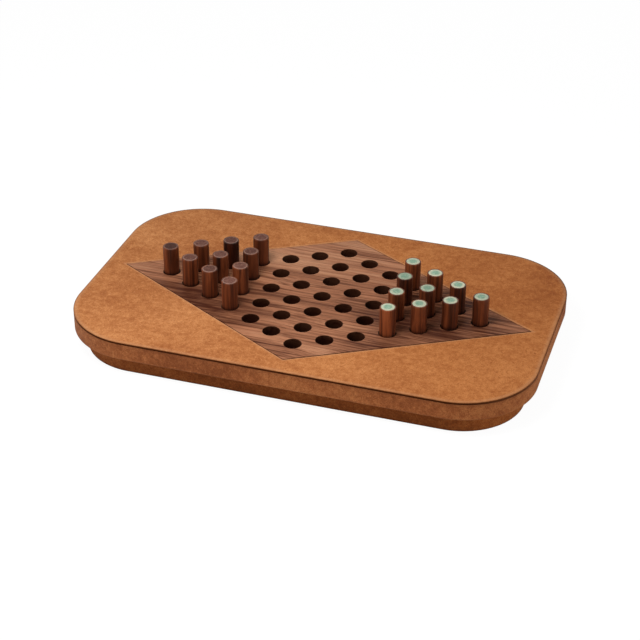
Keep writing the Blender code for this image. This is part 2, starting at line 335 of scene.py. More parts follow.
def rubAndHighlightGroup(look):
    # what hands rub first, and rims where a painted highlight stands in for light catching them: a piece's "edge"
    # attribute, broken up by noise, turns to the paler colour
    tree, given, result = newGroup("edgeRubAndHighlight", [
        ("Vector", "NodeSocketVector", None),
        ("Color", "NodeSocketColor", (0.5, 0.5, 0.5, 1)),
        ("Rub And Highlight", "NodeSocketColor", (0.8, 0.8, 0.8, 1)),
        ("Edge", "NodeSocketFloat", 0.0),
        ("Amount", "NodeSocketFloat", 0.5),
        ("Break Up", "NodeSocketFloat", 0.5),
    ], [("Color", "NodeSocketColor")])
    broken = spread(tree, cloud(tree, (given, "Vector"), *look["cloud"]), *look["range"])
    solid = sums(tree, "SUBTRACT", 1.0, (given, "Break Up"))
    cover = sums(tree, "MULTIPLY_ADD", broken, (given, "Break Up"), solid)
    mask = times(tree, times(tree, (given, "Edge"), cover), (given, "Amount"))
    feed(tree, result.inputs["Color"], mixColor(tree, mask, (given, "Color"), (given, "Rub And Highlight")))
    return tree


groups = {
    "nap": napGroup(napLook), "grain": grainGroup(grainLook),
    "hide": hideGroup(hideLook), "rubAndHighlightNodes": rubAndHighlightGroup(rubAndHighlightLook),
}
print("node groups:", len(groups))


def newMaterial(name):
    material = bpy.data.materials.new(name)
    tree = clearTree(material)
    shader = put(tree, "ShaderNodeBsdfPrincipled", {"Metallic": 0.0})
    put(tree, "ShaderNodeOutputMaterial", {"Surface": (shader, "BSDF")})
    return material, tree, shader, (put(tree, "ShaderNodeTexCoord"), "Object")


def placeGroup(tree, key, inputs):
    node = tree.nodes.new("ShaderNodeGroup")
    node.node_tree = groups[key]
    for name, value in inputs.items():
        feed(tree, node.inputs[name], value)
    return node


def attribute(tree, name):
    return put(tree, "ShaderNodeAttribute", attribute_name=name), "Fac"


# paler rubbed edges, which on rims that catch the light are a painted highlight
def rubAndHighlight(tree, vector, color, look, breakUp):
    return placeGroup(tree, "rubAndHighlightNodes", {
        "Vector": vector, "Color": color, "Rub And Highlight": look["rubAndHighlight"], "Edge": attribute(tree, "edge"),
        "Amount": look["rubAndHighlightAmount"], "Break Up": breakUp,
    }), "Color"


def finishShader(tree, shader, color, effect, bump, distance, settings):
    feed(tree, shader.inputs["Base Color"], color)
    feed(tree, shader.inputs["Roughness"], (effect, "Roughness"))
    relief = put(tree, "ShaderNodeBump", {
        "Strength": bump, "Distance": distance, "Height": (effect, "Height"),
    }), "Normal"
    feed(tree, shader.inputs["Normal"], relief)
    for name, value in settings.items():
        feed(tree, shader.inputs[name], value)


# how far noise breaks up the rubbed parts and painted highlights, how deep the relief is, and what all of a kind
# share
napFinish = {
    "breakUp": 0.35, "depth": 0.25 * mm, "specular": 0.12, "sheenRoughness": 0.55, "sheenTint": (1.0, 0.86, 0.72),
}
grainFinish = {"breakUp": 0.3, "depth": 0.12 * mm, "coatRoughness": 0.28}
hideFinish = {"breakUp": 0.65, "depth": 0.15 * mm}


def suedeMaterial(name, look):
    material, tree, shader, vector = newMaterial(name)
    nap = placeGroup(tree, "nap", {
        "Vector": vector, "Base": look["base"], "Raised": look["raised"], "Laid": look["laid"],
        "Patches": look["patches"], "Fibres": look["fibres"], "Drift And Shade": look["driftAndShade"],
    })
    color = rubAndHighlight(tree, vector, (nap, "Color"), look, napFinish["breakUp"])
    # the dye mask carries the leather's real edge dye and painted shade alike
    color = mixColor(tree, attribute(tree, "dyedAndShaded"), color, look["dye"])
    finishShader(tree, shader, color, nap, look["bump"], napFinish["depth"], {
        "Specular IOR Level": napFinish["specular"], "Sheen Weight": look["sheen"],
        "Sheen Roughness": napFinish["sheenRoughness"], "Sheen Tint": napFinish["sheenTint"],
    })
    return material


def timberMaterial(name, look):
    material, tree, shader, vector = newMaterial(name)
    if look["upright"]:
        vector = stretched(tree, vector, (1, 1, 1), (0, math.radians(90), 0))
    grain = placeGroup(tree, "grain", {
        "Vector": vector, "Dark": look["dark"], "Mid": look["mid"], "Light": look["light"],
        "Band Width": look["bandWidth"], "Growth Scale": look["growthScale"],
        "Growth Lines": look["growthLines"], "Veins": look["veins"], "Pores": look["pores"], "End Tone And Shade": look["endToneAndShade"],
    })
    color = (grain, "Color")
    if look["shadeBy"]:
        color = mixColor(tree, attribute(tree, look["shadeBy"]), color, look["shade"], look["shadeBlend"])
    color = rubAndHighlight(tree, vector, color, look, grainFinish["breakUp"])
    finishShader(tree, shader, color, grain, look["bump"], grainFinish["depth"], {
        "Specular IOR Level": look["specular"], "Coat Weight": look["coat"],
        "Coat Roughness": grainFinish["coatRoughness"],
    })
    return material


def hideMaterial(name, look):
    material, tree, shader, vector = newMaterial(name)
    pebble = placeGroup(tree, "hide", {
        "Vector": vector, "Base": look["base"], "Crease": look["crease"], "Bloom": look["bloom"],
    })
    color = mixColor(tree, attribute(tree, "tone"), (pebble, "Color"), look["shade"], "MULTIPLY")
    color = rubAndHighlight(tree, vector, color, look, hideFinish["breakUp"])
    finishShader(tree, shader, color, pebble, look["bump"], hideFinish["depth"], {
        "Specular IOR Level": look["specular"],
    })
    return material


# colours as they read on screen; drift is what the far end of a hide is multiplied by, partly the hide's own
# change and partly painted shade of the light's falloff, and shadeBy names the point attribute that brings in the
# shade
suedeLooks = {
    "Top": {
        "base": linear(181, 115, 66), "raised": linear(208, 143, 90), "laid": linear(152, 87, 45),
        "patches": 0.95, "fibres": 1.1, "driftAndShade": (0.86, 0.74, 0.59),
        "rubAndHighlight": linear(204, 150, 108), "rubAndHighlightAmount": 0.45, "dye": linear(84, 42, 18), "bump": 0.5, "sheen": 0.04,
    },
    "Band": {
        "base": linear(172, 98, 53), "raised": linear(198, 124, 72), "laid": linear(140, 74, 36),
        "patches": 1.1, "fibres": 1.0, "driftAndShade": (1.0, 0.97, 0.92),
        "rubAndHighlight": linear(190, 122, 78), "rubAndHighlightAmount": 0.3, "dye": linear(72, 34, 14), "bump": 0.6, "sheen": 0.10,
    },
    "Plinth": {
        "base": linear(174, 95, 46), "raised": linear(197, 118, 64), "laid": linear(144, 75, 34),
        "patches": 1.1, "fibres": 1.0, "driftAndShade": (0.94, 0.91, 0.80),
        "rubAndHighlight": linear(176, 106, 60), "rubAndHighlightAmount": 0.2, "dye": linear(74, 40, 22), "bump": 0.6, "sheen": 0.06,
    },
    "Lining": {
        "base": linear(150, 88, 50), "raised": linear(166, 104, 64), "laid": linear(128, 72, 40),
        "patches": 0.8, "fibres": 1.0, "driftAndShade": (1.0, 1.0, 1.0),
        "rubAndHighlight": linear(160, 104, 70), "rubAndHighlightAmount": 0.2, "dye": linear(92, 50, 24), "bump": 0.7, "sheen": 0.05,
    },
}
timberLooks = {
    "Inlay": {
        "dark": linear(70, 35, 23), "mid": linear(169, 112, 81), "light": linear(198, 143, 108),
        "bandWidth": 26.0, "growthScale": 66.0, "growthLines": 1.0, "veins": 0.95, "pores": 0.8, "endToneAndShade": 1.0,
        "rubAndHighlight": linear(182, 132, 98), "rubAndHighlightAmount": 0.3,
        # the shade colour here is painted shade in the holes and a painted shadow along the rhombus border
        "shadeBy": "bore", "shade": linear(38, 14, 7), "shadeBlend": "MIX", "upright": False,
        "bump": 0.35, "specular": 0.03, "coat": 0.0,
    },
    "Peg": {
        "dark": linear(40, 14, 6), "mid": linear(112, 54, 27), "light": linear(152, 80, 44),
        "bandWidth": 130.0, "growthScale": 130.0, "growthLines": 0.65, "veins": 0.0, "pores": 0.8, "endToneAndShade": 0.0,
        "rubAndHighlight": linear(160, 118, 90), "rubAndHighlightAmount": 0.35,
        "shadeBy": "tone", "shade": linear(104, 82, 70), "shadeBlend": "MULTIPLY", "upright": True,
        "bump": 0.35, "specular": 0.22, "coat": 0.03,
    },
    "Core": {
        "dark": linear(70, 44, 30), "mid": linear(84, 54, 38), "light": linear(96, 64, 46),
        "bandWidth": 90.0, "growthScale": 60.0, "growthLines": 0.0, "veins": 0.0, "pores": 0.3, "endToneAndShade": 0.0,
        "rubAndHighlight": linear(96, 64, 46), "rubAndHighlightAmount": 0.0,
        "shadeBy": "", "shade": None, "shadeBlend": "MIX", "upright": False,
        "bump": 0.3, "specular": 0.05, "coat": 0.0,
    },
}
hideLooks = {
    "Welt": {
        "base": linear(76, 34, 10), "crease": linear(56, 22, 6), "bloom": linear(94, 46, 16),
        "rubAndHighlight": linear(150, 92, 56), "rubAndHighlightAmount": 0.8, "shade": linear(120, 110, 110), "bump": 0.4, "specular": 0.02,
    },
    "Burgundy": {
        "base": linear(98, 60, 50), "crease": linear(64, 35, 28), "bloom": linear(132, 92, 78),
        "rubAndHighlight": linear(186, 152, 136), "rubAndHighlightAmount": 0.85, "shade": linear(130, 112, 100), "bump": 0.6, "specular": 0.10,
    },
    "Green": {
        "base": linear(133, 164, 140), "crease": linear(104, 137, 114), "bloom": linear(168, 192, 167),
        "rubAndHighlight": linear(220, 209, 182), "rubAndHighlightAmount": 0.85, "shade": linear(200, 200, 200), "bump": 0.7, "specular": 0.2,
    },
}
finishes = {"suede" + key: suedeMaterial("suede" + key, look) for key, look in suedeLooks.items()}
finishes.update({"timber" + key: timberMaterial("timber" + key, look) for key, look in timberLooks.items()})
finishes.update({"hide" + key: hideMaterial("hide" + key, look) for key, look in hideLooks.items()})
print("materials:", ", ".join(sorted(finishes)))


def newPiece(name, points, faces, finish, body, stands, marks, smoothAngle=50):
    # a closed piece in the board's own frame, with its marks kept as named point attributes
    mesh = bpy.data.meshes.new(name)
    mesh.from_pydata([tuple(point) for point in points], [], faces)
    for label, values in marks.items():
        mesh.attributes.new(label, "FLOAT", "POINT").data.foreach_set("value", values)
    shape = bmesh.new()
    shape.from_mesh(mesh)
    bmesh.ops.recalc_face_normals(shape, faces=shape.faces)
    shape.to_mesh(mesh)
    shape.free()
    mesh.shade_smooth()
    mesh.set_sharp_from_angle(angle=math.radians(smoothAngle))
    mesh.materials.append(finishes[finish])
    piece = addObject(name, mesh)
    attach(piece, body)
    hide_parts(*stands)
    return piece


def joinRings(rings, closed=True):
    # points and quads of a skin through rings of equal count; closed brings the last ring to the first
    count = len(rings[0])
    points = [point for ring in rings for point in ring]
    faces = []
    for ring in range(len(rings) if closed else len(rings) - 1):
        low, high = ring * count, (ring + 1) % len(rings) * count
        for step in range(count):
            after = (step + 1) % count
            faces.append((low + step, low + after, high + after, high + step))
    return points, faces


def capEnds(points, faces, count, low, high):
    # closes an open skin of rings of the given count with a fan to one point at each end
    first, last, top = len(points), len(points) + 1, len(points) - count
    points += [low, high]
    for step in range(count):
        after = (step + 1) % count
        faces += [(first, after, step), (last, top + step, top + after)]


def ripple(place, size, height):
    # unevenness of the given height, in waves of the given size; a fixed third coordinate picks the pattern
    return height * noise.noise(Vector(place) / size)


# the board's outline, walked from the middle of the right side to the back and so on round
outlineLook = {
    "halfLength": span("slab_band", 0) / 2,
    "halfWidth": span("slab_band", 1) / 2 + 0.4 * mm,  # the covers build up a little along the long sides
    "cornerRadius": 72.5 * mm,
    "sideSteps": 18,
    "cornerSteps": 32,
    "frontSteps": 40,
    "seamPoints": (1.6, 0.7, 0.34, 0.16, 0.0),
}
ringLook = {
    "waverSize": 38 * mm,
    "levelSize": 30 * mm,
    "seamHalf": 0.4 * mm,
    "seamPower": 0.7,
}


def quarterOutline(look):
    # each spot: its place, its outward way, and its share of the rhombus's two half diagonals
    length, width, radius = look["halfLength"], look["halfWidth"], look["cornerRadius"]
    spots = []
    for step in range(look["sideSteps"]):
        spots.append((length, (width - radius) * step / look["sideSteps"], 1, 0))
    for step in range(look["cornerSteps"]):
        angle = math.pi / 2 * step / look["cornerSteps"]
        outX, outY = math.cos(angle), math.sin(angle)
        spots.append((length - radius + radius * outX, width - radius + radius * outY, outX, outY))
    run = [(length - radius) * (1 - step / look["frontSteps"]) for step in range(look["frontSteps"])]
    spots += [(x, width, 0, 1) for x in run + [way * mm for way in look["seamPoints"]]]
    walked = [0]
    for first, second in zip(spots, spots[1:]):
        walked.append(walked[-1] + math.dist(first[:2], second[:2]))
    return [(*spot, 1 - way / walked[-1], way / walked[-1]) for spot, way in zip(spots, walked)]


def wholeOutline(look):
    quarter = quarterOutline(look)
    flipped = [(-x, y, -outX, outY, -shareX, shareY) for x, y, outX, outY, shareX, shareY in quarter]
    half = quarter[:-1] + flipped[:0:-1]
    return half + [tuple(-value for value in spot) for spot in half]


outline = wholeOutline(outlineLook)
rhombusTip = Vector((span("walnut_inlay", 0) / 2, span("walnut_inlay", 1) / 2))
print("outline points:", len(outline))


def outlineRing(inset, height, waver=0.0, seam=0.0, level=0.0, shift=0.0):
    # a ring set in from the outline; waver and level let the skin lie unevenly inward and upward, seam dips
    # it at the back joint, shift moves it along X
    ring = []
    for x, y, outX, outY, _, _ in outline:
        depth = inset + ripple((x, y, height), ringLook["waverSize"], waver) + abs(waver) / 2
        if seam and y > 0:
            depth += seam * max(0.0, 1 - abs(x) / ringLook["seamHalf"]) ** ringLook["seamPower"]
        rise = ripple((x, y, 7), ringLook["levelSize"], level)
        ring.append(Vector((x - outX * depth + shift, y - outY * depth, height + rise)))
    return ring


def rhombusRing(margin, height, shift=0.0):
    # the rhombus moved out by a margin and along X by a shift, walked in step with the outline
    tipX = rhombusTip.x + margin / math.sin(halfAngle)
    tipY = rhombusTip.y + margin / math.cos(halfAngle)
    return [Vector((shareX * tipX + shift, shareY * tipY, height)) for *_, shareX, shareY in outline]


def alongOutline(value, change):
    # one value per outline point: value times the factor that change gives there
    return [min(1.0, value * change(spot)) for spot in outline]


def skinPiece(name, rows, finish, stands):
    # rows are (ring, edge, dye): how much the skin is rubbed there, with a painted highlight where a rim catches the
    # light, and how much its edge is dyed, with painted shade where shadow falls, each as one value or as one per
    # outline point
    points, faces = joinRings([ring for ring, _, _ in rows])
    marks = {"edge": [], "dyedAndShaded": []}
    for _, edge, dye in rows:
        for label, value in (("edge", edge), ("dyedAndShaded", dye)):
            marks[label] += value if isinstance(value, list) else [value] * len(outline)
    return newPiece(name, points, faces, finish, "board", stands, marks)


topLook = {
    "underside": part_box("top_sheet")[0].z,
    "top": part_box("top_sheet")[1].z,
    # inset from the outline and height over the underside, then how rubbed and how dyed: the rub is partly a painted
    # highlight along the rolled rim, the dye is the cut edge's own, fading onto the top
    "rim": ((0.60, 0.00, 0.0, 1.0), (-0.45, 0.00, 0.0, 1.0), (-0.62, 0.05, 0.0, 1.0), (-0.68, 0.13, 0.0, 1.0),
            (-0.60, 0.23, 0.0, 0.9), (-0.36, 0.33, 0.2, 0.6), (0.05, 0.42, 0.6, 0.3), (0.60, 0.50, 0.9, 0.13),
            (1.3, 0.56, 0.9, 0.06), (2.2, 0.595, 0.6, 0.02), (3.4, 0.605, 0.2, 0.0), (5.0, 0.60, 0.0, 0.0)),
    # margin from the rhombus, then the same
    "lip": ((2.6, 0.60, 0.1, 0.0), (1.6, 0.605, 0.8, 0.0), (0.95, 0.58, 1.0, 0.01), (0.50, 0.50, 1.0, 0.05),
            (0.34, 0.38, 0.5, 0.3), (0.26, 0.20, 0.0, 1.0), (0.23, 0.02, 0.0, 1.0)),
    "lipShift": 0.3 * mm,  # the opening was cut a touch to the right
    "across": 30,
    "unevenness": 0.09 * mm,
    "unevenSize": 42 * mm,
    "level": 0.02 * mm,
    "shift": 0.35 * mm,  # the slab's covers sit a touch to the right
    "backDyeAndShade": 3.0,  # the rim is darker along the back: more dye, and painted shade where the roll faces away from the light
    "frontRightDyeAndShadow": 9.0,  # the lip is darker along the rhombus's front right side: its cut edge's dye and a painted shadow of the gap
    "nearSlope": 5,
}


def nearRight(spot, slope):
    # 1 along the rhombus's front right side, 0 along the others
    return min(1.0, max(0.0, slope * min(spot[4], -spot[5])))


def topSuede(look):
    rows = []
    for inset, rise, edge, dye in look["rim"]:
        ring = outlineRing(inset * mm, look["underside"] + rise * mm, level=look["level"], shift=look["shift"])
        rows.append((ring, edge, alongOutline(dye, lambda spot: 1 + look["backDyeAndShade"] * max(0.0, spot[3]))))
    outer, inner = rows[-1][0], rhombusRing(look["lip"][0][0] * mm, look["top"], look["lipShift"])
    for step in range(1, look["across"]):
        share = step / look["across"]
        fade = math.sin(math.pi * share) ** 0.5
        ring = []
        for near, far in zip(outer, inner):
            place = near.lerp(far, share)
            place.z += fade * ripple((place.x, place.y, 3), look["unevenSize"], look["unevenness"])
            ring.append(place)
        rows.append((ring, 0.0, 0.0))
    for margin, rise, edge, dye in look["lip"]:
        ring = rhombusRing(margin * mm, look["underside"] + rise * mm, look["lipShift"])
        dyesAndShades = alongOutline(dye, lambda spot: 1 + look["frontRightDyeAndShadow"] * nearRight(spot, look["nearSlope"]))
        rows.append((ring, edge, dyesAndShades))
    return skinPiece("topSuede", rows, "suedeTop", ["top_sheet"])


weltLook = {
    "shift": 0.35 * mm,
    "waver": 0.04 * mm,
    "seam": 0.25 * mm,
    "paleEndPower": 2,  # the strip turns paler round the right end
    "low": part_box("slab_band")[1].z + 0.22 * mm,
    "high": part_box("top_sheet")[0].z - 0.06 * mm,
    # inset, and share of the strip's height
    "bulge": ((0.9, 0.0), (-0.1, 0.0), (-0.40, 0.10), (-0.50, 0.3), (-0.52, 0.5), (-0.50, 0.7), (-0.40, 0.9),
              (-0.1, 1.0), (0.9, 1.0)),
}


def weltStrip(look):
    height = look["high"] - look["low"]
    rows = []
    for inset, share in look["bulge"]:
        ring = outlineRing(inset * mm, look["low"] + height * share, look["waver"], look["seam"], shift=look["shift"])
        rows.append((ring, alongOutline(1.0, lambda spot: max(0.0, spot[2]) ** look["paleEndPower"]), 0.0))
    return skinPiece("weltStrip", rows, "hideWelt", ["edge_welt"])


wrapLook = {
    "rows": 9,
    "turnWaver": 0.05 * mm,
    "faceWaver": 0.10 * mm,
    "seam": 0.45 * mm,
    "innerDrop": 0.1 * mm,
}
bandLook = {
    **wrapLook,
    "low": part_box("slab_band")[0].z,
    "high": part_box("slab_band")[1].z + 0.12 * mm,
    "proud": 0.7 * mm,
    "shift": 0.35 * mm,
    # inset and height of the turned edge, then how rubbed and how dyed; the upper turn's dye is partly dye and partly
    # painted shadow under the top sheet's edge
    "turn": ((0.95, 0.04, 0.0, 0.6), (0.60, 0.0, 0.1, 0.4), (0.32, 0.06, 0.5, 0.2), (0.12, 0.24, 1.0, 0.1),
             (0.03, 0.55, 0.6, 0.0), (0.0, 1.1, 0.2, 0.0)),
    "upperTurn": ((0.95, 0.04, 0.0, 1.0), (0.60, 0.0, 0.0, 1.0), (0.32, 0.06, 0.0, 0.8), (0.12, 0.24, 0.2, 0.5),
                  (0.03, 0.55, 0.3, 0.34), (0.0, 1.1, 0.2, 0.22), (0.0, 2.4, 0.0, 0.10), (0.0, 3.8, 0.0, 0.0)),
    "inner": 1.0 * mm,
}
plinthLook = {
    **wrapLook,
    "low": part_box("plinth_band")[0].z - 0.15 * mm,
    "high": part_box("plinth_band")[1].z,
    "proud": 0.4 * mm,
    "shift": 0.9 * mm,  # the plinth's wrapping sits a touch to the right
    # the lower turn's dye here is painted contact shadow along the foot
    "turn": ((0.95, 0.04, 0.0, 1.0), (0.50, 0.0, 0.0, 1.0), (0.22, 0.05, 0.0, 0.9), (0.07, 0.18, 0.1, 0.6),
             (0.02, 0.40, 0.2, 0.4), (0.0, 0.9, 0.1, 0.26), (0.0, 1.7, 0.0, 0.12), (0.0, 2.8, 0.0, 0.0)),
    "upperTurn": ((0.95, 0.04, 0.0, 0.0), (0.60, 0.0, 0.0, 0.0), (0.0, 0.6, 0.0, 0.0)),
    "inner": 1.2 * mm,
}


def wrappedBand(name, look, setIn, finish, stands):
    # a wrapped strip: soft lower and upper turns, a slightly uneven face and a butt joint at the back
    rows = []
    face = setIn - look["proud"]

    def faceRow(inset, height, waver, edge=0.0, dye=0.0):
        rows.append((outlineRing(face + inset * mm, height, waver, look["seam"], shift=look["shift"]), edge, dye))

    for inset, rise, edge, dye in look["turn"]:
        faceRow(inset, look["low"] + rise * mm, look["turnWaver"], edge, dye)
    low, high = look["low"] + look["turn"][-1][1] * mm, look["high"] - look["upperTurn"][-1][1] * mm
    for step in range(1, look["rows"]):
        faceRow(0.0, low + (high - low) * step / look["rows"], look["faceWaver"])
    for inset, rise, edge, dye in reversed(look["upperTurn"]):
        faceRow(inset, look["high"] - rise * mm, look["turnWaver"], edge, dye)
    for height in (look["high"] - look["innerDrop"], look["low"] + look["innerDrop"]):
        rows.append((outlineRing(setIn + look["inner"], height), 0.0, 0.0))
    return skinPiece(name, rows, finish, stands)


topSuede(topLook)
weltStrip(weltLook)
wrappedBand("bandSuede", bandLook, 0.0, "suedeBand", ["slab_band"])
plinthInset = (span("slab_band", 0) - span("plinth_band", 0)) / 2
wrappedBand("plinthSuede", plinthLook, plinthInset, "suedePlinth", ["plinth_band"])
print("suede top, welt and bands done")


liningLook = {
    "overhangFrom": 1.3 * mm,
    "overhangTo": plinthInset - 0.35 * mm,
    "overhangShares": (0.0, 0.12, 0.3, 0.5, 0.7, 0.88, 1.0),
    "overhangLevel": 0.03 * mm,
    # both edges of the lining curl up and are rubbed
    "curl": 0.15 * mm,
    "curlRubbed": 0.5,
    "baseInset": plinthInset + 1.3 * mm,
    "baseRings": (0.08, 0.22, 0.38, 0.54, 0.70, 0.84, 0.94),
    # inset and height of the turned edge, then how rubbed
    "baseTurn": ((0.5, 0.0, 0.0), (0.12, 0.18, 1.0), (0.0, 0.5, 1.0)),
    "baseTopInset": 0.2 * mm,
    "baseCenter": 0.03 * mm,
    "pucker": 0.12 * mm,
    "puckerSize": 26 * mm,
}


def overhangLining(look):
    low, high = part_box("overhang_lining")[0].z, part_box("overhang_lining")[1].z
    shares, rows = look["overhangShares"], []
    for share in shares:
        inset = look["overhangFrom"] + (look["overhangTo"] - look["overhangFrom"]) * share
        lift, edge = (look["curl"], look["curlRubbed"]) if share in (shares[0], shares[-1]) else (0.0, 0.0)
        rows.append((outlineRing(inset, low + lift, level=look["overhangLevel"]), edge, 0.0))
    for inset in (look["overhangTo"], look["overhangFrom"]):
        rows.append((outlineRing(inset, high), 0.0, 0.0))
    return skinPiece("overhangLining", rows, "suedeLining", ["overhang_lining"])


def baseLining(look):
    # the soft sheet that the board rests on: flat but for its turned edge and a little pucker
    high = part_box("base_lining")[1].z
    turn = [outlineRing(look["baseInset"] + inset * mm, rise * mm) for inset, rise, _ in look["baseTurn"]]
    rings = [[point * share for point in turn[0]] for share in look["baseRings"]]
    for ring in rings:
        for point in ring:
            point.z = abs(ripple((point.x, point.y, 11), look["puckerSize"], look["pucker"]))
    rowMarks = [0.0] * len(rings) + [edge for _, _, edge in look["baseTurn"]] + [0.0, 0.0]
    least = look["baseRings"][0]
    rings += turn + [outlineRing(look["baseInset"] + look["baseTopInset"], high)]
    rings.append([Vector((point.x * least, point.y * least, high)) for point in turn[0]])
    points, faces = joinRings(rings, closed=False)
    capEnds(points, faces, len(outline), Vector((0, 0, look["baseCenter"])), Vector((0, 0, high)))
    edges = [edge for edge in rowMarks for _ in outline] + [0.0, 0.0]
    return newPiece("baseLining", points, faces, "suedeLining", "board", ["base_lining"],
                    {"edge": edges})


overhangLining(liningLook)
baseLining(liningLook)
for node in ("slab_core", "plinth_core"):
    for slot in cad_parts[node].material_slots:
        slot.material = finishes["timberCore"]
print("linings and cores done")


inlayLook = {
    "low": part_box("walnut_inlay")[0].z,
    "high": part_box("walnut_inlay")[1].z,
    "holeDiameter": 16.6 * mm,
    "holePoints": 56,
    "easing": 0.45 * mm,
    "easingSteps": 3,
    "weld": 0.002 * mm,
    "smoothAngle": 40,
    # these are in easings: where the hole rims get a painted highlight, how wide and deep the painted shade in a
    # hole's mouth reaches, and how wide the painted shadow along the border is
    "highlightFrom": 0.6,
    "rimEnd": 0.95,
    "mouthDepth": 3,
    "borderWidth": 0.7,
    "mouthShade": 0.9,
    "mouthFade": 0.35,
    "borderShade": 0.85,
    "levelWeight": 100,
}


def walnutBoard(look):
    # the rhombus and its holes as one filled curve, so that every rim gets the same rounded easing
    curve = bpy.data.curves.new("walnutBoard", "CURVE")
    curve.dimensions = "2D"
    curve.fill_mode = "BOTH"
    curve.bevel_depth = look["easing"]
    curve.bevel_resolution = look["easingSteps"]
    curve.extrude = (look["high"] - look["low"]) / 2 - look["easing"]
    curve.offset = -look["easing"]
    radius = look["holeDiameter"] / 2
    loops = [[(rhombusTip.x, 0), (0, rhombusTip.y), (-rhombusTip.x, 0), (0, -rhombusTip.y)]]
    for spot in holeSpots.values():
        turns = [2 * math.pi * step / look["holePoints"] for step in range(look["holePoints"])]
        loops.append([(spot.x + radius * math.cos(turn), spot.y + radius * math.sin(turn)) for turn in turns])
    for loop in loops:
        spline = curve.splines.new("POLY")
        spline.points.add(len(loop) - 1)
        for point, (x, y) in zip(spline.points, loop):
            point.co = (x, y, 0, 1)
        spline.use_cyclic_u = True
    drawn = addObject("walnutDrawn", curve)
    bpy.context.view_layer.update()
    flat = bpy.data.meshes.new_from_object(drawn)
    bpy.data.objects.remove(drawn)
    shape = bmesh.new()
    shape.from_mesh(flat)
    bmesh.ops.remove_doubles(shape, verts=shape.verts, dist=look["weld"])
    shape.verts.ensure_lookup_table()
    points = [vertex.co + Vector((0, 0, (look["high"] + look["low"]) / 2)) for vertex in shape.verts]
    faces = [[vertex.index for vertex in face.verts] for face in shape.faces]
    shape.free()
    easing, edges, bores = look["easing"], [], []
    for point in points:
        fromHole = min((Vector(point[:2]) - spot).length for spot in holeSpots.values()) - radius
        fromBorder = 1 - abs(point.x) / rhombusTip.x - abs(point.y) / rhombusTip.y
        fromBorder *= rhombusTip.x * math.sin(halfAngle)
        # a painted highlight ring on each hole's rim
        edges.append(1.0 if easing * look["highlightFrom"] < fromHole < easing * look["rimEnd"] else 0.0)
        # painted shade in the holes' mouths and walls, and a painted shadow line along the rhombus border
        paintedShade = 0.0
        if fromHole < easing * look["rimEnd"]:
            paintedShade = look["mouthShade"] if look["high"] - point.z < easing * look["mouthDepth"] else 1.0
            paintedShade *= 1 - look["mouthFade"] * max(0.0, fromHole / easing)
        bores.append(max(paintedShade, look["borderShade"] if fromBorder < easing * look["borderWidth"] else 0.0))
    piece = newPiece("walnutBoard", points, faces, "timberInlay", "board", ["walnut_inlay"],
                     {"edge": edges, "bore": bores}, look["smoothAngle"])
    level = piece.modifiers.new("level", "WEIGHTED_NORMAL")
    level.keep_sharp = True
    level.weight = look["levelWeight"]
    return piece


walnutBoard(inlayLook)
print("walnut board done")


pegLook = {
    "radius": span("peg_dark_01", 0) / 2,
    "foot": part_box("peg_dark_01")[0].z,
    "head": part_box("peg_dark_01")[1].z,
    "turns": 56,
    "smoothAngle": 60,
    # radius measured in from the side, height measured from the foot or down from the head, edge value: rubbed wood,
    # and round the head's rim a painted highlight
    "footTurn": ((0.9, 0.0, 0.5), (0.45, 0.12, 1.0), (0.12, 0.45, 1.0), (0.0, 0.95, 0.3)),
    "headTurn": ((0.0, 0.9, 0.0), (0.04, 0.55, 0.0), (0.16, 0.24, 0.0), (0.38, 0.06, 0.0), (0.62, 0.0, 0.4),
                 (0.95, 0.01, 1.0), (1.08, 0.08, 1.0), (1.10, 0.3, 0.0), (1.10, 1.25, 0.0)),
    # painted shade on the part of the peg that stands down in its hole
    "footShade": 0.5,
    "mouth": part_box("walnut_inlay")[1].z,
    # height over the mouth of the hole, and how much darker the wood is painted there: painted shade round the peg's
    # foot, deepest at the mouth
    "rowMarks": ((-6.0, 0.5), (-0.4, 0.6), (0.5, 0.6), (1.8, 0.35), (3.6, 0.1), (6.0, 0.0)),
    # how dark each peg is cut from its stock, from 0 to 1, in the order of the pegs' numbers
    "dark": (0.40, 0.30, 0.50, 0.30, 0.30, 0.95, 0.25, 0.35, 0.60, 0.55),
    "green": (0.40, 0.50, 0.50, 0.30, 0.50, 0.30, 0.25, 0.55, 0.30, 0.05),
}
discLook = {
    "radius": span("cap_dark_01", 0) / 2 + 0.16 * mm,
    "thickness": span("cap_dark_01", 2),
    # shares of the radius and of the thickness; what lies above crownFrom is grained, and above ringFrom it is rubbed
    # pale, which also serves as a painted highlight round the rim
    "profile": ((0.0, 0.0), (0.92, 0.0), (0.985, 0.12), (1.0, 0.45), (0.99, 0.78), (0.96, 0.92), (0.91, 0.98),
                (0.84, 1.0), (0.76, 1.005), (0.68, 1.01), (0.5, 1.02), (0.3, 1.02)),
    "least": 0.04,
    "crownFrom": 0.9,
    "ringFrom": 0.7,
    # how far from the middle the pale ring begins, and how far it takes to reach its full tone
    "darkRing": 0.84,
    "greenRing": 0.58,
    "ringFade": 0.16,
    "turns": 40,
    "smoothAngle": 60,
    "wrinkle": 0.035 * mm,
    "wrinkleSize": 1.6 * mm,
    # how dark each disc is, from 0 to 1, in the order of the pegs' numbers
    "dark": (0.85, 0.25, 0.25, 0.40, 0.25, 0.50, 0.0, 0.10, 0.45, 0.20),
    "green": (0.40, 0.15, 0.30, 0.10, 0.60, 0.40, 0.15, 0.60, 0.45, 0.0),
    # how pale each disc's rim is, worn leather and painted highlight together, in the same order
    "darkRim": (0.3, 1.0, 0.5, 0.9, 0.8, 0.6, 1.0, 1.0, 0.7, 0.4),
    "greenRim": (0.6, 1.0, 0.75, 1.0, 0.45, 0.8, 0.75, 0.3, 0.65, 0.8),
}


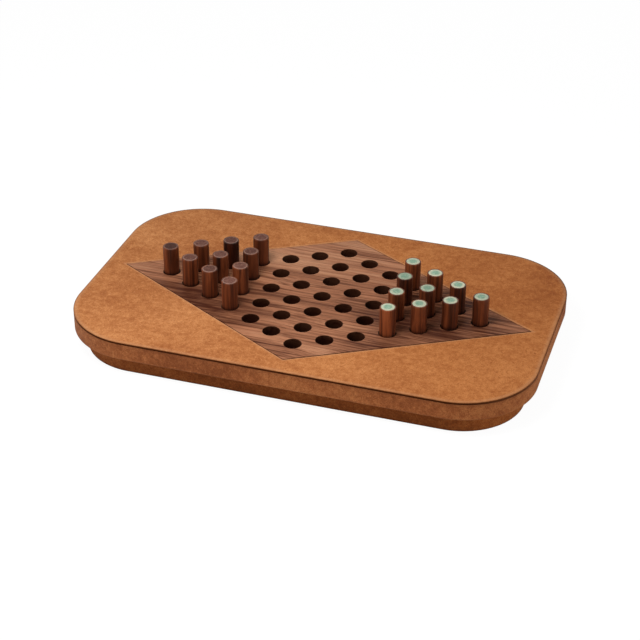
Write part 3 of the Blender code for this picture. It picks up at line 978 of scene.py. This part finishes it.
def turnedPoints(center, profile, turns):
    # rings of a lathe profile of (radius, height), with one point at each end
    rings = []
    for radius, height in profile:
        ring = []
        for step in range(turns):
            angle = 2 * math.pi * step / turns
            ring.append(Vector((center.x + radius * math.cos(angle), center.y + radius * math.sin(angle), height)))
        rings.append(ring)
    points, faces = joinRings(rings, closed=False)
    low, high = (Vector((center.x, center.y, profile[end][1])) for end in (0, -1))
    capEnds(points, faces, turns, low, high)
    return points, faces


def turnedPeg(label, center, tone, look):
    radius = look["radius"]
    profile = [(radius - inset * mm, look["foot"] + rise * mm, edge, look["footShade"])
               for inset, rise, edge in look["footTurn"]]
    profile += [(radius, look["mouth"] + rise * mm, 0.0, rowMarks) for rise, rowMarks in look["rowMarks"]]
    profile += [(radius - inset * mm, look["head"] - drop * mm, edge, 0.0) for inset, drop, edge in look["headTurn"]]
    points, faces = turnedPoints(center, [row[:2] for row in profile], look["turns"])
    edges = [row[2] for row in profile for _ in range(look["turns"])] + [0.0, 0.0]
    tones = [min(1.0, tone + row[3]) for row in profile for _ in range(look["turns"])] + [1.0, tone]
    newPiece("turnedPeg_" + label, points, faces, "timberPeg", "peg_" + label, ["peg_" + label],
             {"edge": edges, "tone": tones}, look["smoothAngle"])


def leatherDisc(label, center, tone, finish, ring, rim, look):
    bottom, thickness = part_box("cap_" + label)[0].z, look["thickness"]
    profile = [(max(share, look["least"]) * look["radius"], bottom + rise * thickness)
               for share, rise in look["profile"]]
    points, faces = turnedPoints(center, profile, look["turns"])
    for point in points:
        if point.z > bottom + thickness * look["crownFrom"]:
            point.z += ripple((point.x, point.y, 5), look["wrinkleSize"], look["wrinkle"])
    edges = [min(rim, max(0.0, (share - ring) / look["ringFade"])) if rise > look["ringFrom"] else 0.0
             for share, rise in look["profile"]]
    edges = [edge for edge in edges for _ in range(look["turns"])] + [0.0, 0.0]
    newPiece("leatherDisc_" + label, points, faces, finish, "peg_" + label, ["cap_" + label],
             {"edge": edges, "tone": [tone] * len(points)}, look["smoothAngle"])


for color, spots, finish in (("dark", darkHome, "hideBurgundy"), ("green", greenHome, "hideGreen")):
    slot = {"dark": "burgundy_leather", "green": "green_leather"}[color]
    for number, spot in enumerate(spots):
        label = "%s_%02d" % (color, number + 1)
        turnedPeg(label, holeSpots[spot], pegLook[color][number], pegLook)
        leatherDisc(label, holeSpots[spot], discLook[color][number], finish, discLook[color + "Ring"],
                    discLook[color + "Rim"][number], discLook)
print("pegs done:", len(darkHome) + len(greenHome))


# floor and surroundings: white where the camera or a reflection sees them, quieter as a source of light
stageLook = {
    "floorSize": 12.0,
    "floorShown": 0.9,
    "floorGlow": 1.06,
    "floorBounce": 0.36,
    "shadowShare": 0.10,
    "ambient": 0.36,
}


def whiteRays(tree):
    path = tree.nodes.new("ShaderNodeLightPath")
    first = sums(tree, "MAXIMUM", (path, "Is Camera Ray"), (path, "Is Glossy Ray"))
    return sums(tree, "MAXIMUM", first, (path, "Is Transmission Ray"))


def paleFloor(look):
    half = look["floorSize"] / 2
    mesh = bpy.data.meshes.new("floor")
    mesh.from_pydata([(-half, -half, 0), (half, -half, 0), (half, half, 0), (-half, half, 0)], [], [(0, 1, 2, 3)])
    material = bpy.data.materials.new("floorPale")
    tree = clearTree(material)
    seen = whiteRays(tree)
    tint = grey(tree, spread(tree, seen, 0.0, 1.0, look["floorBounce"], look["floorShown"]))
    matt = put(tree, "ShaderNodeBsdfDiffuse", {"Color": tint}), "BSDF"
    glow = put(tree, "ShaderNodeEmission", {"Color": (1, 1, 1), "Strength": look["floorGlow"]}), "Emission"
    share = times(tree, seen, 1 - look["shadowShare"])
    mixed = put(tree, "ShaderNodeMixShader", {0: share, 1: matt, 2: glow}), "Shader"
    put(tree, "ShaderNodeOutputMaterial", {"Surface": mixed})
    mesh.materials.append(material)
    floor = addObject("floor", mesh)


def whiteWorld(look):
    world = bpy.data.worlds.new("studio")
    tree = clearTree(world)
    strength = spread(tree, whiteRays(tree), 0.0, 1.0, look["ambient"], 1.0)
    glow = put(tree, "ShaderNodeBackground", {"Color": (1, 1, 1), "Strength": strength}), "Background"
    put(tree, "ShaderNodeOutputWorld", {"Surface": glow})
    bpy.context.scene.world = world


lampLook = {
    "key": {"place": (-0.12, -0.30, 0.62), "aim": (-0.02, -0.05, 0.03), "size": 0.32, "power": 3.4},
    "right": {"place": (1.1, -0.20, 0.28), "aim": (0.1, 0.0, 0.03), "size": 0.6, "power": 2.0},
    "left": {"place": (-0.95, -0.28, 0.28), "aim": (-0.1, 0.0, 0.03), "size": 0.6, "power": 1.1},
}


def softLamp(name, look):
    lamp = bpy.data.lights.new(name, "AREA")
    lamp.shape = "SQUARE"
    lamp.size = look["size"]
    lamp.energy = look["power"]
    holder = addObject(name, lamp)
    place, aim = Vector(look["place"]), Vector(look["aim"])
    holder.location = place
    holder.rotation_euler = (aim - place).to_track_quat("-Z", "Y").to_euler()
    holder.visible_camera = False


# the camera stands to the front and right, about 31 degrees up, with a long lens
cameraLook = {
    "azimuth": 17.48, "elevation": 31.472, "roll": 0.384,
    "distance": 1.57632, "lens": 94.0, "sensor": 36.0, "aim": (0.0114, -0.04233, 0.0386),
}


def placeCamera(look):
    azimuth, elevation, roll = (math.radians(look[key]) for key in ("azimuth", "elevation", "roll"))
    back = Vector((math.sin(azimuth) * math.cos(elevation), -math.cos(azimuth) * math.cos(elevation),
                   math.sin(elevation)))
    right = Vector((math.cos(azimuth), math.sin(azimuth), 0))
    up = back.cross(right)
    tilted = math.cos(roll) * right + math.sin(roll) * up
    upright = math.cos(roll) * up - math.sin(roll) * right
    lens = bpy.data.cameras.new("camera")
    lens.lens = look["lens"]
    lens.sensor_width = look["sensor"]
    camera = addObject("camera", lens)
    turn = Matrix((tilted, upright, back)).transposed().to_4x4()
    camera.matrix_world = Matrix.Translation(Vector(look["aim"]) + back * look["distance"]) @ turn
    bpy.context.scene.camera = camera


paleFloor(stageLook)
whiteWorld(stageLook)
for name, look in lampLook.items():
    softLamp(name, look)
placeCamera(cameraLook)
bpy.context.scene.view_settings.view_transform = "Standard"
print("stage, lamps and camera done")
